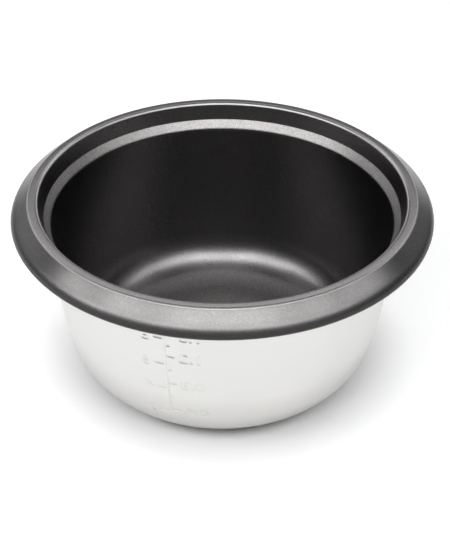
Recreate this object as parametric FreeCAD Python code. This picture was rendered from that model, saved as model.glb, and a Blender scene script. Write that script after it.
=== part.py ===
import FreeCAD, Part
import math
import os

# Inner pot of a rice cooker: one disc of aluminium sheet drawn into a pot with a rolled rim, and the
# non-stick coat that covers its inside, its top ring and its skirt.
# Millimetres and degrees. Z is the axis of the pot, and the origin is the middle of its base, on the
# face that it stands on.

# Driving dimensions
RIM_HEIGHT = 101.05     # base to the corner where the collar meets the top ring
SIDE_DIAMETER = 173.6   # outside of the side, where it stands upright under the ledge
LIP_DIAMETER = 209.0    # across the rolled lip, over the coat
SHEET = 1.3             # thickness of the aluminium
COAT = 0.2              # thickness of the coat

CORNER_RADIUS = 28.1    # outside radius between the base and the side
SIDE_LEAN = 13.3        # lean of the side from upright, where it leaves the corner
SIDE_UPRIGHT = 4.2      # upright stretch of the side, up to the ledge

LEDGE_WIDTH = 3.2       # ledge that the lid sits on, along the radius
LEDGE_SLOPE = 53.0      # rise of the ledge, from level
COLLAR_HEIGHT = 8.85    # collar round the lid
COLLAR_FLARE = 16.0     # lean of the collar, from upright
RING_WIDTH = 4.2        # flat top ring, along the radius
SKIRT_SLOPE = 39.5      # fall of the skirt where it leaves the crest, from level
SKIRT_BOW = 27.5        # how much steeper the bowed skirt is where it meets the lip

# Bend radii, each on the tight side of its bend
LEDGE_BEND = 1.2        # side to ledge, on the bare face
COLLAR_BEND = 0.8       # ledge to collar, over the coat
RING_BEND = 0.5         # collar to top ring, on the bare face
CREST_BEND = 0.2        # top ring to skirt, on the bare face
SKIRT_BEND = 6.3        # bow of the skirt, on the bare face
LIP_BEND = 1.1          # rolled lip, on the bare face

UPRIGHT = 90.0          # angles from level
INWARD = 180.0
FULL_TURN = 360.0
AXIS_POINT = FreeCAD.Vector(0, 0, 0)
AXIS = FreeCAD.Vector(0, 0, 1)


def cos(degrees):
    return math.cos(math.radians(degrees))


def sin(degrees):
    return math.sin(math.radians(degrees))


def tan(degrees):
    return math.tan(math.radians(degrees))


def section_point(radius, height):
    return FreeCAD.Vector(radius, 0, height)


class SectionLine:
    """Straights and tangent arcs in the (radius, height) plane, drawn from the axis outwards.

    The line is the face of the sheet under the coat. The coat lies on its left and the sheet on its
    right, so an offset to the left has tighter arcs where the line turns left, and wider ones where
    it turns right.
    """

    def __init__(self, radius, height, heading):
        self.radius = radius
        self.height = height
        self.heading = heading
        self.pieces = []

    def straight(self, length):
        self.pieces.append((self.radius, self.height, self.heading, length, 0, 0))
        self.radius += length * cos(self.heading)
        self.height += length * sin(self.heading)

    def bend(self, bend_radius, turn):
        """An arc that turns the heading, to the left where turn is positive."""
        self.pieces.append((self.radius, self.height, self.heading, 0, bend_radius, turn))
        side = math.copysign(1, turn)
        centre_radius = self.radius - side * bend_radius * sin(self.heading)
        centre_height = self.height + side * bend_radius * cos(self.heading)
        self.heading += turn
        self.radius = centre_radius + side * bend_radius * sin(self.heading)
        self.height = centre_height - side * bend_radius * cos(self.heading)

    def edges(self, offset):
        """The line's edges, moved to the left by offset."""
        return [self.edge(piece, offset) for piece in self.pieces]

    def edge(self, piece, offset):
        radius, height, heading, length, bend_radius, turn = piece
        if turn == 0:
            start = self.beside(radius, height, heading, offset)
            end = start + section_point(length * cos(heading), length * sin(heading))
            return Part.LineSegment(start, end).toShape()
        side = math.copysign(1, turn)
        centre = self.beside(radius, height, heading, side * bend_radius)
        reach = bend_radius - side * offset
        marks = [
            centre + section_point(side * reach * sin(way), -side * reach * cos(way))
            for way in (heading, heading + turn / 2, heading + turn)
        ]
        return Part.Arc(*marks).toShape()

    @staticmethod
    def beside(radius, height, heading, offset):
        return section_point(radius - offset * sin(heading), height + offset * cos(heading))


def tangent_length(bend_radius, turn):
    """How much of each leg a bend takes up, from the corner where the two legs would meet."""
    return bend_radius * tan(turn / 2)


def draw_pressing():
    """The face of the sheet under the coat, from the middle of the floor to the edge of the lip."""
    # Bend radii on the coated face of the sheet
    ledge_radius = LEDGE_BEND + SHEET
    collar_radius = COLLAR_BEND + COAT
    ring_radius = RING_BEND + SHEET
    crest_radius = CREST_BEND + SHEET
    bow_radius = SKIRT_BEND + SHEET
    lip_radius = LIP_BEND + SHEET

    ledge_turn = UPRIGHT - LEDGE_SLOPE
    collar_turn = UPRIGHT - COLLAR_FLARE - LEDGE_SLOPE
    ring_turn = UPRIGHT - COLLAR_FLARE

    ledge_room = tangent_length(ledge_radius, ledge_turn)
    collar_room = tangent_length(collar_radius, collar_turn)
    ring_room = tangent_length(ring_radius, ring_turn)
    crest_room = tangent_length(crest_radius, SKIRT_SLOPE)

    # The belly of the side: one arc, upright at its top, that meets the corner at the given lean
    ledge_height = RIM_HEIGHT - COLLAR_HEIGHT - LEDGE_WIDTH * tan(LEDGE_SLOPE)
    belly_height = ledge_height - SIDE_UPRIGHT - CORNER_RADIUS * (1 - sin(SIDE_LEAN))
    belly_radius = belly_height / sin(SIDE_LEAN)
    belly_depth = belly_radius * (1 - cos(SIDE_LEAN))
    base_radius = SIDE_DIAMETER / 2 - belly_depth - CORNER_RADIUS * cos(SIDE_LEAN)

    # The skirt falls straight from the crest, bows outwards and runs into the lip
    lip_slope = SKIRT_SLOPE + SKIRT_BOW
    collar_radius_at_top = SIDE_DIAMETER / 2 - SHEET + LEDGE_WIDTH + COLLAR_HEIGHT * tan(COLLAR_FLARE)
    crest_corner = collar_radius_at_top + RING_WIDTH
    lip_start = LIP_DIAMETER / 2 - COAT - lip_radius * (1 - sin(lip_slope))
    bow_start = lip_start - bow_radius * (sin(lip_slope) - sin(SKIRT_SLOPE))

    line = SectionLine(0, SHEET, 0)
    line.straight(base_radius)
    line.bend(CORNER_RADIUS - SHEET, UPRIGHT - SIDE_LEAN)
    line.bend(belly_radius - SHEET, SIDE_LEAN)
    line.straight(SIDE_UPRIGHT - ledge_room)
    line.bend(ledge_radius, -ledge_turn)
    line.straight(LEDGE_WIDTH / cos(LEDGE_SLOPE) - ledge_room - collar_room)
    line.bend(collar_radius, collar_turn)
    line.straight(COLLAR_HEIGHT / cos(COLLAR_FLARE) - collar_room - ring_room)
    line.bend(ring_radius, -ring_turn)
    line.straight(RING_WIDTH - ring_room - crest_room)
    line.bend(crest_radius, -SKIRT_SLOPE)
    line.straight((bow_start - crest_corner) / cos(SKIRT_SLOPE) - crest_room)
    line.bend(bow_radius, -SKIRT_BOW)
    line.bend(lip_radius, lip_slope - INWARD)
    print(f"base flat to radius {base_radius:.2f}, belly radius {belly_radius:.1f}, ledge at {ledge_height:.2f}")
    return line


def revolve_layer(line, inner_offset, outer_offset):
    """A solid of revolution between two offsets of the section line."""
    first = Part.Wire(line.edges(inner_offset))
    second = Part.Wire(line.edges(outer_offset))
    ends = [
        Part.LineSegment(first.OrderedVertexes[k].Point, second.OrderedVertexes[k].Point).toShape()
        for k in (0, -1)
    ]
    outline = Part.Wire(Part.__sortEdges__(first.Edges + second.Edges + ends))
    return Part.makeSolid(Part.Face(outline).revolve(AXIS_POINT, AXIS, FULL_TURN))


def pot_shell(line):
    """The aluminium pressing, on the right of the line."""
    return revolve_layer(line, 0, -SHEET)


def nonstick_coating(line):
    """The coat, on the left of the line, from the middle of the floor to the edge of the lip."""
    return revolve_layer(line, 0, COAT)


def main():
    os.makedirs("parts", exist_ok=True)
    line = draw_pressing()
    for name, solid in (("pot_shell", pot_shell(line)), ("nonstick_coating", nonstick_coating(line))):
        solid.exportStep(f"parts/{name}.step")
        box = solid.optimalBoundingBox()
        print(f"{name}: valid {solid.isValid()}, {len(solid.Solids)} solid, {solid.Volume / 1000:.2f} cm3,"
              f" {box.XLength:.2f} x {box.YLength:.2f} x {box.ZLength:.2f}, z {box.ZMin:.2f} to {box.ZMax:.2f}")


main()
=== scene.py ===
# %% [markdown]
# # The inner pot of a rice cooker
# The pot is one disc of aluminium sheet, drawn into a deep round dish with a rolled rim. A thin grey
# non-stick coat covers its inside, its top ring and its skirt, and the outside of the body is bare,
# satin metal. A level scale is stamped into the side. The imported model gives the frame: the box of its
# coat is read first, and gives the diameter of the lip.

# %% Load the frame
import math

import bmesh
import bpy
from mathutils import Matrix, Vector


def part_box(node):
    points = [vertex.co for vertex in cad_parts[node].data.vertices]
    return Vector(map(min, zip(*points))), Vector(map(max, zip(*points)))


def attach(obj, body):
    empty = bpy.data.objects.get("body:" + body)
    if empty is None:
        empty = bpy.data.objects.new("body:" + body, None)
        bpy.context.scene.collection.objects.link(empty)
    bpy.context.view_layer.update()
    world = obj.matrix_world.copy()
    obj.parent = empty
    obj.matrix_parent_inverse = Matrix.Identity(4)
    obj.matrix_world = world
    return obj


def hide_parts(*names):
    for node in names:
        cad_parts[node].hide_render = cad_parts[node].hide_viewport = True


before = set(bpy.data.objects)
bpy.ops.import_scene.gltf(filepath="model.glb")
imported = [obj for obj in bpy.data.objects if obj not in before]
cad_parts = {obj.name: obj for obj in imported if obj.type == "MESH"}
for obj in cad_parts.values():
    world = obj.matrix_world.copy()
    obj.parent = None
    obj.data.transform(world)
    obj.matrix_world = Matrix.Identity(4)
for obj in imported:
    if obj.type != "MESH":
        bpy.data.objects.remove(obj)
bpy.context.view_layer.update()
MM = 0.001
coat_low, coat_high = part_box("nonstick_coating")
print(f"frame: {sorted(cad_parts)}, {(coat_high.x - coat_low.x) / MM:.1f} mm across the lip")

# %% [markdown]
# ## The camera
# A long lens looks down on the pot from the front. Its place was found by fitting the round edges of
# the rim and the base to the picture, so the lens is given by its focal length in pixels, and the
# sensor's height stands for the picture's height.

# %% Camera
PICTURE_HEIGHT = 549            # pixels
FOCAL_LENGTH = 1181.85          # pixels
SENSOR_HEIGHT = 36.0            # mm, as a camera's settings have it
CAMERA_PLACE = Vector((0.64, -496.2, 411.5)) * MM
CAMERA_PITCH = 36.12            # degrees below level
CAMERA_ROLL = -0.115            # degrees
NEAREST_SEEN = 10 * MM


def add_camera():
    settings = bpy.data.cameras.new("camera")
    settings.sensor_fit = "VERTICAL"
    settings.sensor_height = SENSOR_HEIGHT
    settings.lens = FOCAL_LENGTH / PICTURE_HEIGHT * SENSOR_HEIGHT
    settings.clip_start = NEAREST_SEEN
    camera = bpy.data.objects.new("camera", settings)
    camera.location = CAMERA_PLACE
    camera.rotation_euler = (math.radians(90 - CAMERA_PITCH), math.radians(CAMERA_ROLL), 0)
    bpy.context.scene.collection.objects.link(camera)
    bpy.context.scene.camera = camera
    return camera


camera = add_camera()
print(f"camera: {camera.data.lens:.1f} mm lens, {CAMERA_PLACE.length:.2f} m from the middle of the base")

# %% [markdown]
# ## The section of the pressing
# A drawn and rolled pot is the same all the way round, so its whole shape is one line: flat floor,
# round corner, bellied side, ledge for the lid, collar, flat top ring, skirt and rolled lip. It could
# be traced as a list of points, but a line of straights and tangent arcs keeps each size of the real
# pot in sight, and one line, moved sideways, gives every face of the sheet and of the coat.

# %% Sizes of the section
RIM_HEIGHT = 101.05 * MM        # base to the corner between collar and top ring
SIDE_DIAMETER = 173.6 * MM      # outside of the side, under the ledge
LIP_DIAMETER = coat_high.x - coat_low.x
SHEET = 1.3 * MM
COAT = 0.2 * MM
CORNER_RADIUS = 28.1 * MM       # base to side, outside
SIDE_LEAN = math.radians(13.3)  # from upright, where the side leaves the corner
SIDE_UPRIGHT = 4.2 * MM
LEDGE_WIDTH = 3.2 * MM
LEDGE_SLOPE = math.radians(53)
COLLAR_HEIGHT = 8.85 * MM
COLLAR_FLARE = math.radians(16)
RING_WIDTH = 4.2 * MM
SKIRT_SLOPE = math.radians(39.5)
SKIRT_BOW = math.radians(27.5)  # how much steeper the skirt is where it meets the lip
LEDGE_BEND = 1.2 * MM + SHEET   # bend radii of the face under the coat
COLLAR_BEND = 0.8 * MM + COAT
RING_BEND = 0.5 * MM + SHEET
CREST_BEND = 0.2 * MM + SHEET
SKIRT_BEND = 6.3 * MM + SHEET
LIP_BEND = 1.1 * MM + SHEET
UPRIGHT = math.pi / 2


def pressing_line():
    """The face under the coat, from the axis outwards: (name, length, 0) or (name, bend radius, turn)."""
    ledge_turn = UPRIGHT - LEDGE_SLOPE
    collar_turn = UPRIGHT - COLLAR_FLARE - LEDGE_SLOPE
    ring_turn = UPRIGHT - COLLAR_FLARE
    ledge_room = LEDGE_BEND * math.tan(ledge_turn / 2)
    collar_room = COLLAR_BEND * math.tan(collar_turn / 2)
    ring_room = RING_BEND * math.tan(ring_turn / 2)
    crest_room = CREST_BEND * math.tan(SKIRT_SLOPE / 2)
    ledge_height = RIM_HEIGHT - COLLAR_HEIGHT - LEDGE_WIDTH * math.tan(LEDGE_SLOPE)
    belly_height = ledge_height - SIDE_UPRIGHT - CORNER_RADIUS * (1 - math.sin(SIDE_LEAN))
    belly_radius = belly_height / math.sin(SIDE_LEAN)
    base_radius = (SIDE_DIAMETER / 2 - belly_radius * (1 - math.cos(SIDE_LEAN))
                   - CORNER_RADIUS * math.cos(SIDE_LEAN))
    crest_corner = (SIDE_DIAMETER / 2 - SHEET + LEDGE_WIDTH
                    + COLLAR_HEIGHT * math.tan(COLLAR_FLARE) + RING_WIDTH)
    lip_slope = SKIRT_SLOPE + SKIRT_BOW
    lip_start = LIP_DIAMETER / 2 - COAT - LIP_BEND * (1 - math.sin(lip_slope))
    bow_start = lip_start - SKIRT_BEND * (math.sin(lip_slope) - math.sin(SKIRT_SLOPE))
    return [
        ("floor", base_radius, 0),
        ("corner", CORNER_RADIUS - SHEET, UPRIGHT - SIDE_LEAN),
        ("side", belly_radius - SHEET, SIDE_LEAN),
        ("side", SIDE_UPRIGHT - ledge_room, 0),
        ("bend", LEDGE_BEND, -ledge_turn),
        ("ledge", LEDGE_WIDTH / math.cos(LEDGE_SLOPE) - ledge_room - collar_room, 0),
        ("bend", COLLAR_BEND, collar_turn),
        ("collar", COLLAR_HEIGHT / math.cos(COLLAR_FLARE) - collar_room - ring_room, 0),
        ("bend", RING_BEND, -ring_turn),
        ("ring", RING_WIDTH - ring_room - crest_room, 0),
        ("bend", CREST_BEND, -SKIRT_SLOPE),
        ("skirt", (bow_start - crest_corner) / math.cos(SKIRT_SLOPE) - crest_room, 0),
        ("bow", SKIRT_BEND, -SKIRT_BOW),
        ("bend", LIP_BEND, lip_slope - math.pi),
    ]


line = pressing_line()
print("straights:", ", ".join(f"{name} {size / MM:.1f}" for name, size, turn in line if not turn), "mm")

# %% [markdown]
# The line becomes rows of points, close together where the surface bends or carries the scale and far
# apart where it is flat or hidden. An offset to the left of the line tightens the bends that turn left
# and widens those that turn right, exactly as a sheet of even thickness does.

# %% Rows along a face
def face_rows(offset, spacing, bend_step):
    """Points (radius, height, name) of the line moved to its left by offset, from the axis outwards."""
    radius, height, heading = 0.0, SHEET, 0.0
    rows = []
    for name, size, turn in line:
        side = math.copysign(1, turn)
        room = spacing.get(name, spacing["rest"])
        length = abs(size * turn) if turn else size
        count = max(1, math.ceil(length / room), math.ceil(abs(turn) / bend_step))
        for k in range(count + 1):
            share = k / count
            if turn:
                way = heading + turn * share
                reach = size - side * offset
                centre = (radius - side * size * math.sin(heading), height + side * size * math.cos(heading))
                point = (centre[0] + side * reach * math.sin(way), centre[1] - side * reach * math.cos(way))
            else:
                point = (radius + size * share * math.cos(heading) - offset * math.sin(heading),
                         height + size * share * math.sin(heading) + offset * math.cos(heading))
            if k or not rows:
                rows.append((*point, name))
        if turn:
            radius = centre[0] + side * size * math.sin(heading + turn)
            height = centre[1] - side * size * math.cos(heading + turn)
            heading += turn
        else:
            radius += size * math.cos(heading)
            height += size * math.sin(heading)
    return rows


SHOWN_SPACING = {"floor": 6 * MM, "corner": 1.6 * MM, "side": 0.32 * MM, "rest": 1.2 * MM}
HIDDEN_SPACING = {"floor": 12 * MM, "corner": 4 * MM, "side": 4 * MM, "rest": 2.5 * MM}
SHOWN_BEND_STEP = math.radians(7)
HIDDEN_BEND_STEP = math.radians(15)
bare_face = face_rows(-SHEET, SHOWN_SPACING, SHOWN_BEND_STEP)
bond_face = face_rows(0, HIDDEN_SPACING, HIDDEN_BEND_STEP)
coated_face = face_rows(COAT, SHOWN_SPACING, SHOWN_BEND_STEP)
print(f"rows: {len(bare_face)} bare, {len(bond_face)} bonded, {len(coated_face)} coated")

# %% [markdown]
# ## The level scale
# The marks say how high a volume of water stands, so their heights aren't spaced evenly: the pot widens
# upwards and the marks close up. They are worked out from the coated face itself, by adding up thin
# slices of the bowl until the volume is reached.

# %% Heights of the levels
LITRE = 0.001                   # cubic metres
CUP = 0.18 * LITRE              # a measuring cup of rice
LONG_LITRES = (0.4, 0.8, 1.2, 1.5)
SHORT_LITRES = (0.6, 1.0, 1.35)
CUPS = (2, 4, 6, 8)
SLICE_SPACING = {"rest": 0.3 * MM}
SLICE_BEND_STEP = math.radians(1)
slice_rows = face_rows(COAT, SLICE_SPACING, SLICE_BEND_STEP)


def level_height(volume):
    """Height at which the bowl holds the volume, from thin slices between rows of the coated face."""
    filled = 0.0
    for (r0, z0, _), (r1, z1, _) in zip(slice_rows, slice_rows[1:]):
        part = math.pi * (r0 * r0 + r0 * r1 + r1 * r1) / 3 * (z1 - z0)
        if filled + part >= volume:
            return z0 + (z1 - z0) * (volume - filled) / part
        filled += part
    raise ValueError("the bowl is too small for this level")


print("litre marks at", [round(level_height(v * LITRE) / MM, 1) for v in LONG_LITRES], "mm")
print("cup marks at", [round(level_height(n * CUP) / MM, 1) for n in CUPS], "mm")

# %% [markdown]
# ## Building node trees by script
# The scale and the walls are grown by Geometry Nodes, and the finishes are node trees too. A few helpers
# keep the steps short: one adds a node and links it, one starts a tree with named inputs, and one
# evaluates a tree on a carrier and keeps the result as a plain mesh, because a finished piece has no
# modifier left.

# %% Helpers for node trees
def node(tree, kind, settings=None, **links):
    """Adds a node, sets its options, and links or sets its inputs: Two_Words by name, _0 by index."""
    made = tree.nodes.new(kind)
    for option, value in (settings or {}).items():
        setattr(made, option, value)
    for key, value in links.items():
        words = key.strip("_").replace("_", " ").lower()
        socket = made.inputs[int(words)] if words.isdigit() else next(
            s for s in made.inputs if s.enabled and s.name.lower() == words)
        if isinstance(value, bpy.types.NodeSocket):
            tree.links.new(value, socket)
        else:
            socket.default_value = value
    return made


def math_node(tree, operation, *values):
    """The result of a Math node, whose inputs are sockets or plain numbers."""
    made = tree.nodes.new("ShaderNodeMath")
    made.operation = operation
    for socket, value in zip(made.inputs, values):
        if isinstance(value, bpy.types.NodeSocket):
            tree.links.new(value, socket)
        else:
            socket.default_value = value
    return made.outputs[0]


def geometry_tree(name, inputs):
    """A new Geometry Nodes tree with named inputs. Returns the tree, its inputs and its last node."""
    tree = bpy.data.node_groups.new(name, "GeometryNodeTree")
    for label, kind in inputs.items():
        tree.interface.new_socket(label, in_out="INPUT", socket_type=kind)
    tree.interface.new_socket("Geometry", in_out="OUTPUT", socket_type="NodeSocketGeometry")
    sockets = {s.name: s for s in tree.nodes.new("NodeGroupInput").outputs}
    return tree, sockets, tree.nodes.new("NodeGroupOutput")


def grow(name, tree, values, start_mesh=None):
    """Evaluates a tree once on an object and returns a plain mesh object made from the result."""
    carrier = bpy.data.objects.new(name + "_carrier", start_mesh or bpy.data.meshes.new(name + "_start"))
    bpy.context.scene.collection.objects.link(carrier)
    modifier = carrier.modifiers.new("tree", "NODES")
    modifier.node_group = tree
    identifiers = {item.name: item.identifier for item in tree.interface.items_tree if item.in_out == "INPUT"}
    for label, value in values.items():
        modifier[identifiers[label]] = value
    depsgraph = bpy.context.evaluated_depsgraph_get()
    mesh = bpy.data.meshes.new_from_object(carrier.evaluated_get(depsgraph))
    mesh.name = name
    carrier.modifiers.remove(modifier)
    bpy.data.objects.remove(carrier)
    made = bpy.data.objects.new(name, mesh)
    bpy.context.scene.collection.objects.link(made)
    return made


print("helpers for node trees are ready")

# %% [markdown]
# ## The drawing of the scale
# The scale is first drawn flat, as its die would be: an upright line, ticks to both sides of it and a
# number beside each long tick. The ticks all are one bar at different places and lengths, so a small
# Geometry Nodes tree copies a bar onto points that carry the two lengths. The walls look the drawing up
# later, and then it is deleted, so it needs no material.

# %% Bars of the scale
STROKE = 0.5 * MM               # flat bottom of a tick
SPINE_STROKE = 0.05 * MM
LONG_TICK = (-4.1 * MM, -0.4 * MM)      # from the spine, as read inside the pot
SHORT_TICK = (-2.3 * MM, -0.5 * MM)
CUP_TICK = (1.2 * MM, 5.4 * MM)


def bar_tree():
    tree, given, end = geometry_tree("scale_bars", {"Geometry": "NodeSocketGeometry"})
    bar = node(tree, "GeometryNodeMeshGrid", Size_X=1.0, Size_Y=1.0, Vertices_X=2, Vertices_Y=2)
    across = node(tree, "GeometryNodeInputNamedAttribute", {"data_type": "FLOAT_VECTOR"}, Name="bar_size")
    points = node(tree, "GeometryNodeMeshToPoints", Mesh=given["Geometry"])
    copies = node(tree, "GeometryNodeInstanceOnPoints", Points=points.outputs[0],
                  Instance=bar.outputs[0], Scale=across.outputs[0])
    real = node(tree, "GeometryNodeRealizeInstances", Geometry=copies.outputs[0])
    tree.links.new(real.outputs[0], end.inputs[0])
    return tree


def scale_bars():
    """Flat bars, x along the wall as read from inside and y up the wall."""
    ticks = [(*LONG_TICK, level_height(v * LITRE)) for v in LONG_LITRES]
    ticks += [(*SHORT_TICK, level_height(v * LITRE)) for v in SHORT_LITRES]
    ticks += [(*CUP_TICK, level_height(n * CUP)) for n in CUPS]
    places = [((start + stop) / 2, height, 0) for start, stop, height in ticks]
    lengths = [(stop - start, STROKE, 1) for start, stop, _ in ticks]
    low, high = level_height(CUPS[0] * CUP), level_height(LONG_LITRES[-1] * LITRE)
    places.append((0, (low + high) / 2, 0))
    lengths.append((SPINE_STROKE, high - low, 1))
    mesh = bpy.data.meshes.new("bar_places")
    mesh.from_pydata(places, [], [])
    bar_size = mesh.attributes.new("bar_size", "FLOAT_VECTOR", "POINT")
    bar_size.data.foreach_set("vector", [x for length in lengths for x in length])
    return grow("scale_bars", bar_tree(), {}, mesh)


bars = scale_bars()
print(f"scale: {len(bars.data.polygons)} bars")

# %% [markdown]
# The numbers are plain digits, so Blender's own font can draw them, made a flat mesh. The die's digits
# are broader than the font's, and the slopes of the stamp will widen every stroke, so the outlines are
# drawn in a little and stretched along the wall. Bars and numbers then become one drawing.

# %% Numbers of the scale
DIGIT_HEIGHT = 5.7 * MM
FONT_DIGIT_SHARE = 0.729        # height of a digit in the built-in font, as a share of its size
LITRE_EDGE = -6.2 * MM          # right edge of the litre numbers, as read inside
CUP_EDGE = 7.4 * MM             # left edge of the cup numbers
WIDENING = 1.25                 # the numbers are broader than the font's
THINNING = -0.08 * MM           # draws the font's strokes in, to leave room for the stamp's slopes
CURVE_STEPS = 4                 # straights in each curved piece of a digit's outline


def flat_number(body, edge, align, height):
    """A number as a flat mesh, centred on the height of its tick."""
    text = bpy.data.curves.new("number", "FONT")
    text.body = body
    text.size = DIGIT_HEIGHT / FONT_DIGIT_SHARE
    text.align_x = align
    text.offset = THINNING
    text.resolution_u = CURVE_STEPS
    made = bpy.data.objects.new("number", text)
    bpy.context.scene.collection.objects.link(made)
    mesh = bpy.data.meshes.new_from_object(made.evaluated_get(bpy.context.evaluated_depsgraph_get()))
    bpy.data.objects.remove(made)
    for vertex in mesh.vertices:
        vertex.co = (vertex.co.x * WIDENING + edge, vertex.co.y + height - DIGIT_HEIGHT / 2, 0)
    return mesh


def scale_drawing(bars):
    """One flat mesh of the bars and the numbers."""
    drawing = bmesh.new()
    drawing.from_mesh(bars.data)
    for v in LONG_LITRES:
        drawing.from_mesh(flat_number(f"{v:.1f}", LITRE_EDGE, "RIGHT", level_height(v * LITRE)))
    for n in CUPS:
        drawing.from_mesh(flat_number(str(n), CUP_EDGE, "LEFT", level_height(n * CUP)))
    mesh = bpy.data.meshes.new("scale_drawing")
    drawing.to_mesh(mesh)
    drawing.free()
    bpy.data.objects.remove(bars)
    made = bpy.data.objects.new("scale_drawing", mesh)
    bpy.context.scene.collection.objects.link(made)
    return made


drawing = scale_drawing(bars)
xs = [v.co.x / MM for v in drawing.data.vertices]
print(f"drawing: {len(drawing.data.polygons)} faces, from {min(xs):.1f} to {max(xs):.1f} mm")

# %% [markdown]
# ## The finishes
# Each finish is worked from the piece's own coordinates, so that it stays with the piece. On a turned
# piece nearly everything depends on two of them, the distance from the axis and the height, so a helper
# works these out, and others range a value, blend two colours and make a noise.

# %% Helpers for materials
NOISE_RANGE = (0.3, 0.7)        # most values of a noise lie between these


def new_material(name):
    material = bpy.data.materials.new(name)
    material.use_nodes = True
    tree = material.node_tree
    shader = next(n for n in tree.nodes if n.type == "BSDF_PRINCIPLED")
    return material, tree, shader


def turned_coordinates(tree):
    """Object coordinates of a turned piece: the place, its distance from the axis and its height."""
    place = node(tree, "ShaderNodeTexCoord").outputs["Object"]
    x, y, z = node(tree, "ShaderNodeSeparateXYZ", Vector=place).outputs
    radius = math_node(tree, "SQRT", math_node(tree, "ADD", math_node(tree, "MULTIPLY", x, x),
                                               math_node(tree, "MULTIPLY", y, y)))
    return place, radius, z


def ranged(tree, value, low, high, to_low, to_high):
    """The value moved from one range to another, and kept inside it."""
    return node(tree, "ShaderNodeMapRange", {"clamp": True}, Value=value, From_Min=low, From_Max=high,
                To_Min=to_low, To_Max=to_high).outputs[0]


def blend(tree, share, first, second):
    """The first colour where the share is 0 and the second where it is 1."""
    return node(tree, "ShaderNodeMix", {"data_type": "RGBA"}, Factor=share, A=first, B=second).outputs[2]


def noise(tree, place, scale, detail):
    return node(tree, "ShaderNodeTexNoise", Vector=place, Scale=scale, Detail=detail).outputs[0]


print("helpers for materials are ready")

# %% [markdown]
# The outside is bare aluminium with a fine satin face. It mirrors what is around it only as a soft blur,
# and the turning leaves very fine rings. The grain and the rings act on the roughness and on a slight
# bump, because on bare metal the colour itself hardly changes. The colour is painted darker towards the
# base, as painted shade: it stands in for the table's shadow that the lowest part of the side mirrors.

# %% Satin aluminium
LATHE_RINGS = 1400.0                    # scales of the noises, per metre
METAL_GRAIN = 5200.0
METAL_CLOUDS = 26.0
SATIN_TONES = ((0.690, 0.685, 0.669, 1), (0.714, 0.709, 0.693, 1))
# Painted shade: the tone the side is darkened to at the base, where it mirrors the table's shadow.
BASE_SHADE_TONE = (0.56, 0.552, 0.535, 1)
BASE_SHADE_HEIGHTS = (2 * MM, 36 * MM)      # darkened wholly below the first, not at all above the second
SATIN_ROUGHNESS = (0.31, 0.35)
RING_ROUGHNESS = (-0.03, 0.03)
RING_RELIEF = 0.5                       # the rings' share of the bump, beside the grain
RELIEF_DEPTH = 0.02 * MM
SATIN_BUMP = 0.12


def satin_aluminium():
    material, tree, shader = new_material("satin_aluminium")
    shader.inputs["Metallic"].default_value = 1.0
    place, radius, z = turned_coordinates(tree)
    section = node(tree, "ShaderNodeCombineXYZ", X=radius, Z=z).outputs[0]
    rings = noise(tree, section, LATHE_RINGS, 3.0)
    grain = noise(tree, place, METAL_GRAIN, 2.0)
    clouds = noise(tree, place, METAL_CLOUDS, 3.0)
    tone = blend(tree, ranged(tree, clouds, *NOISE_RANGE, 0, 1), *SATIN_TONES)
    # Painted shade: darker towards the base.
    base_shaded = blend(tree, ranged(tree, z, *BASE_SHADE_HEIGHTS, 1, 0), tone, BASE_SHADE_TONE)
    tree.links.new(base_shaded, shader.inputs["Base Color"])
    spread = math_node(tree, "ADD", ranged(tree, rings, *NOISE_RANGE, *RING_ROUGHNESS),
                       ranged(tree, clouds, *NOISE_RANGE, *SATIN_ROUGHNESS))
    tree.links.new(spread, shader.inputs["Roughness"])
    relief = math_node(tree, "ADD", math_node(tree, "MULTIPLY", rings, RING_RELIEF), grain)
    bump = node(tree, "ShaderNodeBump", Height=relief, Strength=SATIN_BUMP, Distance=RELIEF_DEPTH)
    tree.links.new(bump.outputs[0], shader.inputs["Normal"])
    return material


aluminium = satin_aluminium()
print(f"{aluminium.name}: {len(aluminium.node_tree.nodes)} nodes")

# %% [markdown]
# The non-stick coat isn't the same all over. The two edges of the top ring are painted pale, a painted
# highlight, and the ledge and the floor are paler fleck by fleck, for wear and painted sheen. The side, the
# flat of the ring, the lower skirt and the lip are painted darker, as painted shade. A map could be painted
# for this, but bands of height and of distance from the axis follow the pot exactly.

# %% Painted highlight, wear and painted shade of the coat
# The edges of the ring get a painted highlight; the ledge and the floor get wear and a painted sheen.
RING_EDGES = (91.1 * MM, 95.75 * MM)    # from the axis: top of the collar and crest of the skirt
EDGE_BAND_WIDTH = 0.45 * MM
CREST_HIGHLIGHT = 0.55
LEDGE_HEIGHTS = (87.7 * MM, 92.5 * MM)
LEDGE_WEAR_AND_SHEEN = 0.37
FLOOR_HEIGHTS = (1.8 * MM, 5.5 * MM)    # worn below the first, not at all above the second
FLOOR_WEAR_AND_SHEEN = 0.58
WEAR_AND_SHEEN_FLECKS = (0.6, 1.4)                # worn places keep more of some flakes than of others
# Painted shade: the side, the flat of the ring, the lower skirt and the lip are painted darker.
SHADED_SIDE_HEIGHTS = (14 * MM, 24 * MM, 87 * MM)      # dullness starts, is full, and ends
SIDE_SHADE = 0.55
RING_SHADE = 0.35
SHADED_SKIRT_HEIGHTS = (94.5 * MM, 97.5 * MM)     # dull below the first, not at all above the second
SKIRT_SHADE = 0.3
# The lip is painted dark below these heights, as painted shade.
SHADED_LIP_HEIGHTS = (92.2 * MM, 93.4 * MM)    # the coat is thin below these


def height_band(tree, z, low, full, top, strength):
    """The strength in a band of heights: it rises from low to full and ends sharply at the top."""
    return math_node(tree, "MULTIPLY", ranged(tree, z, low, full, 0, strength),
                     ranged(tree, z, top - EDGE_BAND_WIDTH, top, 1, 0))


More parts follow.
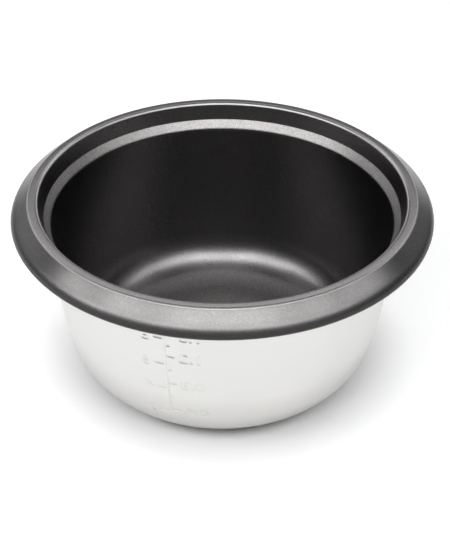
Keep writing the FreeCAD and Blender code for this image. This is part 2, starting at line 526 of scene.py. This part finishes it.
def worn_places(tree, radius, z, shine):
    """1 on the collar's edge and less on the crest (painted highlight), less on the ledge and floor (wear and
    painted sheen), 0 elsewhere.
    """
    collar, crest = [ranged(tree, math_node(tree, "ABSOLUTE", math_node(tree, "SUBTRACT", radius, edge)),
                            EDGE_BAND_WIDTH / 2, EDGE_BAND_WIDTH, 1, 0) for edge in RING_EDGES]
    crest = math_node(tree, "MULTIPLY", crest, CREST_HIGHLIGHT)
    high = ranged(tree, z, RIM_HEIGHT - 3 * EDGE_BAND_WIDTH, RIM_HEIGHT - EDGE_BAND_WIDTH, 0, 1)
    edges = math_node(tree, "MULTIPLY", math_node(tree, "MAXIMUM", collar, crest), high)
    low, top = LEDGE_HEIGHTS
    ledge = height_band(tree, z, low, low + EDGE_BAND_WIDTH, top, LEDGE_WEAR_AND_SHEEN)
    inside = math_node(tree, "LESS_THAN", radius, RING_EDGES[0] - EDGE_BAND_WIDTH)
    floor = ranged(tree, z, *FLOOR_HEIGHTS, FLOOR_WEAR_AND_SHEEN, 0)
    wear_sheen = math_node(tree, "MAXIMUM", math_node(tree, "MULTIPLY", ledge, inside), floor)
    flecked = math_node(tree, "MULTIPLY", wear_sheen, ranged(tree, shine, 0, 1, *WEAR_AND_SHEEN_FLECKS))
    return math_node(tree, "MAXIMUM", edges, flecked)


def dull_places(tree, radius, z):
    """Painted shade: 1 on the lip, less on the lower skirt, the flat of the ring and the side, 0 elsewhere.
    """
    outside = math_node(tree, "GREATER_THAN", radius, RING_EDGES[1])
    rim = math_node(tree, "MAXIMUM", ranged(tree, z, *SHADED_LIP_HEIGHTS, 1, 0),
                    ranged(tree, z, *SHADED_SKIRT_HEIGHTS, SKIRT_SHADE, 0))
    skirt = math_node(tree, "MULTIPLY", rim, outside)
    side = height_band(tree, z, *SHADED_SIDE_HEIGHTS, SIDE_SHADE)
    ring = ranged(tree, z, RIM_HEIGHT, RIM_HEIGHT + COAT, 0, RING_SHADE)
    return math_node(tree, "MAXIMUM", ring, math_node(tree, "MAXIMUM", skirt, side))


# The print gives where the paler wear and painted sheen end and where the painted shade begins.
print(f"coat: worn up to {FLOOR_HEIGHTS[1] / MM:.1f} mm, dull from {SHADED_SIDE_HEIGHTS[0] / MM:.0f} mm")

# %% [markdown]
# The coat itself is a sprayed and baked film, dark grey, with fine metal flakes in it. The flakes make it
# mirror light like a dull metal where a lamp stands in line, and stay nearly black elsewhere, so it is
# made as a dark metal and not as a paint. Small random cells stand for the flakes, and a fine bump for
# the sprayed skin. Where hands hold the skirt, and where the coat is worn, it is rougher.

# %% Non-stick grey
FLAKES = 2200.0                         # scales of the cells and the noises, per metre
SPRAYED_SKIN = 1800.0
COAT_CLOUDS = 45.0
FLAKE_RANGE = (0.3, 1.0)
COAT_TONES = ((0.197, 0.191, 0.190, 1), (0.245, 0.238, 0.238, 1))
# Painted highlight and sheen: the pale tone of the ring's edges and of the worn ledge and floor.
SHEEN_AND_WEAR_TONE = (0.705, 0.684, 0.680, 1)
# The dark tone of the painted shade.
PAINTED_SHADE_TONE = (0.05, 0.048, 0.048, 1)
COAT_ROUGHNESS = (0.28, 0.30)
SKIN_ROUGHNESS = (-0.02, 0.02)
WORN_ROUGHNESS = (0.25, 0.15)           # from this much wear on, this much is added
HANDLED_HEIGHTS = (93 * MM, 97 * MM)    # hands hold the pot by the lower part of the skirt
HANDLED_ROUGHNESS = 0.14
SKIN_BUMP = 0.06


def coat_roughness(tree, radius, z, wear_and_sheen, skin, clouds):
    """The sprayed skin's roughness, with what wear and hands add to it."""
    full_wear, worn_added = WORN_ROUGHNESS
    wear_sheen = ranged(tree, wear_and_sheen, 0, full_wear, 0, worn_added)
    handled = math_node(tree, "MULTIPLY", ranged(tree, z, *HANDLED_HEIGHTS, HANDLED_ROUGHNESS, 0),
                        math_node(tree, "GREATER_THAN", radius, RING_EDGES[1]))
    used = math_node(tree, "ADD", wear_sheen, handled)
    sprayed = math_node(tree, "ADD", ranged(tree, skin, *NOISE_RANGE, *SKIN_ROUGHNESS),
                        ranged(tree, clouds, *NOISE_RANGE, *COAT_ROUGHNESS))
    return math_node(tree, "ADD", sprayed, used)


def nonstick_grey():
    material, tree, shader = new_material("nonstick_grey")
    shader.inputs["Metallic"].default_value = 1.0
    place, radius, z = turned_coordinates(tree)
    flakes = node(tree, "ShaderNodeTexVoronoi", {"feature": "F1"}, Vector=place, Scale=FLAKES)
    shine = node(tree, "ShaderNodeSeparateXYZ", Vector=flakes.outputs["Color"]).outputs[0]
    skin = noise(tree, place, SPRAYED_SKIN, 3.0)
    clouds = noise(tree, place, COAT_CLOUDS, 2.0)
    wear_and_sheen = worn_places(tree, radius, z, shine)
    tone = blend(tree, ranged(tree, shine, *FLAKE_RANGE, 0, 1), *COAT_TONES)
    # Painted highlight on the ring's edges, wear and painted sheen on the ledge and floor.
    sheen_and_wear = blend(tree, wear_and_sheen, tone, SHEEN_AND_WEAR_TONE)
    # Painted shade on the lip, the lower skirt, the flat of the ring and the side.
    shaded = blend(tree, dull_places(tree, radius, z), sheen_and_wear, PAINTED_SHADE_TONE)
    tree.links.new(shaded, shader.inputs["Base Color"])
    tree.links.new(coat_roughness(tree, radius, z, wear_and_sheen, skin, clouds), shader.inputs["Roughness"])
    bump = node(tree, "ShaderNodeBump", Height=skin, Strength=SKIN_BUMP, Distance=RELIEF_DEPTH)
    tree.links.new(bump.outputs[0], shader.inputs["Normal"])
    return material


coat_grey = nonstick_grey()
print(f"{coat_grey.name}: {len(coat_grey.node_tree.nodes)} nodes")

# %% [markdown]
# ## Turning the walls
# Both pieces follow one rule: a closed section, turned about the axis. A spin or a Screw modifier would
# do it too, but the scale has to be pressed into the wall where the section passes it, and that is easy
# in Geometry Nodes: a grid has one column for each angle and one row for each point of the section, and
# near the scale the columns stand closer together. Each point of the wall looks up its own place on the
# flat drawing, and the nearer a stroke is, the further the wall moves towards the axis, down an even
# slope. On the bare outside the marks are sunk and mirrored, and inside they stand up and can be read.

# %% The turning tree
MERGE_DISTANCE = 0.002 * MM             # closes the seam and the poles on the axis


def turning_tree():
    tree, given, end = geometry_tree("turned_wall", {
        "Section": "NodeSocketObject", "Drawing": "NodeSocketObject", "Rows": "NodeSocketInt",
        "Fine Columns": "NodeSocketInt", "Coarse Columns": "NodeSocketInt",
        "Scale Angle": "NodeSocketFloat", "Fine Half Angle": "NodeSocketFloat",
        "Stamp Depth": "NodeSocketFloat", "Stamp Slope": "NodeSocketFloat",
        "Material": "NodeSocketMaterial"})
    columns = math_node(tree, "ADD", given["Fine Columns"], given["Coarse Columns"])
    grid = node(tree, "GeometryNodeMeshGrid", Vertices_X=math_node(tree, "ADD", columns, 1.0),
                Vertices_Y=given["Rows"])
    share = node(tree, "ShaderNodeSeparateXYZ", Vector=grid.outputs["UV Map"])

    # Angle of a column: fine steps across the scale, then coarse steps round the rest
    fine_share = math_node(tree, "DIVIDE", given["Fine Columns"], columns)
    fine_start = math_node(tree, "SUBTRACT", given["Scale Angle"], given["Fine Half Angle"])
    fine_end = math_node(tree, "ADD", given["Scale Angle"], given["Fine Half Angle"])
    fine_angle = node(tree, "ShaderNodeMapRange", {"clamp": True}, Value=share.outputs[0],
                      From_Max=fine_share, To_Min=fine_start, To_Max=fine_end).outputs[0]
    fine_width = math_node(tree, "MULTIPLY", given["Fine Half Angle"], 2.0)
    coarse_width = math_node(tree, "SUBTRACT", 2 * math.pi, fine_width)
    coarse_angle = node(tree, "ShaderNodeMapRange", {"clamp": True}, Value=share.outputs[0],
                        From_Min=fine_share, To_Max=coarse_width).outputs[0]
    angle = math_node(tree, "ADD", fine_angle, coarse_angle)

    # Radius and height of a row, and whether it takes the stamp, from the section
    section = node(tree, "GeometryNodeObjectInfo", Object=given["Section"]).outputs["Geometry"]
    last_row = math_node(tree, "SUBTRACT", given["Rows"], 1.0)
    row = math_node(tree, "ROUND", math_node(tree, "MULTIPLY", share.outputs[1], last_row))
    place = node(tree, "GeometryNodeSampleIndex", {"data_type": "FLOAT_VECTOR", "domain": "POINT"},
                 Geometry=section, Value=node(tree, "GeometryNodeInputPosition").outputs[0], Index=row)
    takes_stamp = node(tree, "GeometryNodeInputNamedAttribute", {"data_type": "FLOAT"}, Name="takes_stamp")
    stamped = node(tree, "GeometryNodeSampleIndex", {"data_type": "FLOAT", "domain": "POINT"},
                   Geometry=section, Value=takes_stamp.outputs[0], Index=row).outputs[0]
    radius, _, height = node(tree, "ShaderNodeSeparateXYZ", Vector=place.outputs[0]).outputs

    # The stamp: how far the wall moves in, from the distance to the nearest stroke of the drawing
    turned = math_node(tree, "SUBTRACT", given["Scale Angle"], angle)
    along = math_node(tree, "MULTIPLY", turned, radius)
    flat_place = node(tree, "ShaderNodeCombineXYZ", X=along, Y=height).outputs[0]
    flat = node(tree, "GeometryNodeObjectInfo", Object=given["Drawing"]).outputs["Geometry"]
    near = node(tree, "GeometryNodeProximity", {"target_element": "FACES"}, _0=flat,
                Sample_Position=flat_place).outputs["Distance"]
    depth = node(tree, "ShaderNodeMapRange", {"clamp": True}, Value=near,
                 From_Max=given["Stamp Slope"], To_Min=given["Stamp Depth"], To_Max=0.0).outputs[0]
    pressed = math_node(tree, "SUBTRACT", radius, math_node(tree, "MULTIPLY", depth, stamped))

    # The wall: the grid bent round to these places, closed, and dressed
    spot = node(tree, "ShaderNodeCombineXYZ", Z=height,
                X=math_node(tree, "MULTIPLY", pressed, math_node(tree, "COSINE", angle)),
                Y=math_node(tree, "MULTIPLY", pressed, math_node(tree, "SINE", angle)))
    wall = node(tree, "GeometryNodeSetPosition", Geometry=grid.outputs[0], Position=spot.outputs[0])
    closed = node(tree, "GeometryNodeMergeByDistance", Geometry=wall.outputs[0], Distance=MERGE_DISTANCE)
    smooth = node(tree, "GeometryNodeSetShadeSmooth", Geometry=closed.outputs[0], Shade_Smooth=True)
    real = node(tree, "GeometryNodeRealizeInstances", Geometry=smooth.outputs[0])
    dressed = node(tree, "GeometryNodeSetMaterial", Geometry=real.outputs[0], Material=given["Material"])
    tree.links.new(dressed.outputs[0], end.inputs[0])
    return tree


wall_tree = turning_tree()
print(f"turning tree: {len(wall_tree.nodes)} nodes")

# %% [markdown]
# The bare sheet and the coat are turned as two closed pieces, each with a face that shows and a face where
# the two are bonded. Only the side of the face that shows takes the stamp. The corners at the end of the
# lip stay sharp and everything else is shaded smooth. A closed piece has no open edge, and its volume
# tells whether its faces point outwards, so both are printed.

# %% Turn a section into a piece
SCALE_ANGLE = math.radians(-107.55)     # where the scale's spine stands, from the x axis
FINE_HALF_ANGLE = math.radians(13)
FINE_COLUMNS = 124
COARSE_COLUMNS = 112
STAMP_DEPTH = 0.34 * MM
STAMP_SLOPE = 0.46 * MM
SHARP_TURN = math.radians(40)           # an edge sharper than this isn't shaded smooth
CUBIC_CENTIMETRE = 1e-6                 # cubic metres


def section_object(name, loop, takes_stamp):
    """The points of a closed section, each with 1 or 0 for whether it takes the stamp."""
    mesh = bpy.data.meshes.new(name)
    mesh.from_pydata([(r, 0, z) for r, z, _ in loop], [], [])
    marks = mesh.attributes.new("takes_stamp", "FLOAT", "POINT")
    marks.data.foreach_set("value", takes_stamp)
    made = bpy.data.objects.new(name, mesh)
    bpy.context.scene.collection.objects.link(made)
    return made


def turn_piece(name, shown, hidden, material):
    """A closed piece between a shown face, which takes the stamp, and a hidden one."""
    loop = shown + hidden[::-1]
    takes_stamp = [1.0 if part == "side" else 0.0 for _, _, part in shown] + [0.0] * len(hidden)
    section = section_object(name + "_section", loop, takes_stamp)
    piece = grow(name, wall_tree, {
        "Section": section, "Drawing": drawing, "Rows": len(loop), "Fine Columns": FINE_COLUMNS,
        "Coarse Columns": COARSE_COLUMNS, "Scale Angle": SCALE_ANGLE, "Fine Half Angle": FINE_HALF_ANGLE,
        "Stamp Depth": STAMP_DEPTH, "Stamp Slope": STAMP_SLOPE, "Material": material})
    bpy.data.objects.remove(section)
    shape = bmesh.new()
    shape.from_mesh(piece.data)
    bmesh.ops.recalc_face_normals(shape, faces=shape.faces)
    for edge in shape.edges:
        edge.smooth = edge.calc_face_angle(0) < SHARP_TURN
    open_edges = sum(not edge.is_manifold for edge in shape.edges)
    volume = shape.calc_volume(signed=True) / CUBIC_CENTIMETRE
    shape.to_mesh(piece.data)
    shape.free()
    triangles = sum(len(face.vertices) - 2 for face in piece.data.polygons)
    print(f"{name}: {triangles} triangles, {open_edges} open edges, {volume:.1f} cm3")
    return piece


pot_body = turn_piece("pot_body", bare_face, bond_face, aluminium)
nonstick_lining = turn_piece("nonstick_lining", coated_face, bond_face, coat_grey)
bpy.data.objects.remove(drawing)

# %% [markdown]
# ## The table
# The pot stands on a white table. White paint alone looks grey in this light, and more light would burn out
# the metal, so the table also gives off a little light by itself, but only to the camera and to what
# mirrors it. Close to the pot it gives off none, so that the shadow stays.

# %% Table
TABLE_RADIUS = 0.6
TABLE_SIDES = 96
TABLE_WHITE = (0.945, 0.948, 0.955, 1)
TABLE_ROUGHNESS = 0.9
TABLE_LIFT = 0.32               # light that the table gives off by itself, seen directly or mirrored
LIFT_REACH = (0.068, 0.110)     # from the axis: none within the first, all of it beyond the second


def add_table():
    angles = [2 * math.pi * k / TABLE_SIDES for k in range(TABLE_SIDES)]
    rim = [(TABLE_RADIUS * math.cos(angle), TABLE_RADIUS * math.sin(angle), 0) for angle in angles]
    mesh = bpy.data.meshes.new("table")
    mesh.from_pydata(rim, [], [list(range(TABLE_SIDES))])
    table = bpy.data.objects.new("table", mesh)
    bpy.context.scene.collection.objects.link(table)
    material, tree, shader = new_material("white_table")
    shader.inputs["Base Color"].default_value = TABLE_WHITE
    shader.inputs["Roughness"].default_value = TABLE_ROUGHNESS
    shader.inputs["Specular IOR Level"].default_value = 0.0
    shader.inputs["Emission Color"].default_value = (1, 1, 1, 1)
    paths = node(tree, "ShaderNodeLightPath").outputs
    seen = math_node(tree, "MAXIMUM", paths["Is Camera Ray"],
                     math_node(tree, "MAXIMUM", paths["Is Glossy Ray"], paths["Is Transmission Ray"]))
    _, radius, _ = turned_coordinates(tree)
    lift = node(tree, "ShaderNodeMapRange", {"clamp": True, "interpolation_type": "SMOOTHSTEP"}, Value=radius,
                From_Min=LIFT_REACH[0], From_Max=LIFT_REACH[1], To_Max=TABLE_LIFT).outputs[0]
    tree.links.new(math_node(tree, "MULTIPLY", seen, lift), shader.inputs["Emission Strength"])
    mesh.materials.append(material)
    return table


table = add_table()
print(f"table: {table.dimensions.x:.2f} m across")

# %% [markdown]
# ## The world
# To the camera the studio is white all round. A backdrop stands only behind the pot, so metal mirrors white
# there, up to its top edge, and a dim room everywhere else. That keeps the coat dark where no lamp stands.

# %% World
STUDIO_GREY = 0.03
BACKDROP_EDGE = math.cos(math.radians(42))      # the backdrop ends this far from straight behind the pot
BACKDROP_TOP = math.sin(math.radians(20))       # and this high above level
EDGE_FADE = 0.15
TOP_FADE = 0.1


def set_world():
    """White to the camera, white behind the pot to the pieces that mirror it, and dim all round."""
    world = bpy.data.worlds.new("studio")
    bpy.context.scene.world = world
    world.use_nodes = True
    tree = world.node_tree
    background = next(n for n in tree.nodes if n.type == "BACKGROUND")
    paths = node(tree, "ShaderNodeLightPath").outputs
    ahead = node(tree, "ShaderNodeSeparateXYZ", Vector=node(tree, "ShaderNodeTexCoord").outputs["Object"])
    backdrop = math_node(tree, "MULTIPLY",
                         ranged(tree, ahead.outputs[1], BACKDROP_EDGE, BACKDROP_EDGE + EDGE_FADE, 0, 1),
                         ranged(tree, ahead.outputs[2], BACKDROP_TOP - TOP_FADE, BACKDROP_TOP, 1, 0))
    mirrored = math_node(tree, "MAXIMUM", paths["Is Glossy Ray"], paths["Is Transmission Ray"])
    seen = math_node(tree, "MAXIMUM", paths["Is Camera Ray"], math_node(tree, "MULTIPLY", mirrored, backdrop))
    tree.links.new(math_node(tree, "MAXIMUM", seen, STUDIO_GREY), background.inputs["Strength"])
    background.inputs["Color"].default_value = (1, 1, 1, 1)
    bpy.context.scene.view_settings.view_transform = "Standard"


set_world()
print(f"world: white behind the pot, {STUDIO_GREY} elsewhere")

# %% [markdown]
# ## The lamps
# On a coat that mirrors, each bright band is the image of a lamp. Three softboxes close to the pot make an
# arch in front, above the camera, and a panel on each side carries it on, so that the corner of the floor,
# the ledge and the skirt show one long band. A wide panel behind lights the top ring. Weak panels at the
# rear, high at the sides and overhead keep the rest of the coat from going black. A lamp is set by its
# radiance and not by its watts, because its image then stays as bright when its size changes.

# %% Lamps
LAMPS = {   # azimuth, elevation, distance, width, height and radiance
    "front_softbox": (0, 54, 0.80, 0.52, 0.30, 3.6),
    "front_left_softbox": (-45, 47, 0.80, 0.47, 0.26, 3.5),
    "front_right_softbox": (42, 47, 0.80, 0.42, 0.26, 3.1),
    "left_panel": (-77, 35, 1.20, 0.60, 0.34, 3.6),
    "right_panel": (80, 41, 1.20, 0.56, 0.28, 2.3),
    "back_panel": (180, 47, 1.20, 2.10, 0.38, 2.7),
    "left_rear_panel": (-121, 19, 1.20, 0.70, 0.46, 0.50),
    "right_rear_panel": (123, 19, 1.20, 0.70, 0.46, 0.26),
    "high_left_panel": (-108, 57, 1.20, 0.60, 0.34, 0.40),
    "high_right_panel": (112, 57, 1.20, 0.60, 0.34, 0.40),
    "top_panel": (0, 88, 1.20, 0.60, 0.60, 0.5),
}


def add_softbox(name, azimuth, elevation, distance, width, height, radiance):
    """A rectangular lamp that faces the pot. Azimuth is from the front, to the right; degrees and metres."""
    turn, lift = math.radians(azimuth), math.radians(elevation)
    way = Vector((math.sin(turn) * math.cos(lift), -math.cos(turn) * math.cos(lift), math.sin(lift)))
    settings = bpy.data.lights.new(name, "AREA")
    settings.shape = "RECTANGLE"
    settings.size = width
    settings.size_y = height
    settings.energy = math.pi * radiance * width * height
    lamp = bpy.data.objects.new(name, settings)
    lamp.location = way * distance
    lamp.rotation_euler = way.to_track_quat("Z", "Y").to_euler()
    lamp.visible_camera = False
    bpy.context.scene.collection.objects.link(lamp)
    return lamp


for name, setting in LAMPS.items():
    lamp = add_softbox(name, *setting)
    print(f"{name}: {lamp.data.energy:.1f} W")

# %% [markdown]
# ## Tying the pieces to the frame
# The two turned pieces stand for the two solids of the imported model and move with its one body.

# %% Ride and replace
for piece, solid, finish in ((pot_body, "pot_shell", "satin_aluminium"),
                             (nonstick_lining, "nonstick_coating", "nonstick_grey")):
    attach(piece, "root")
    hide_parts(solid)
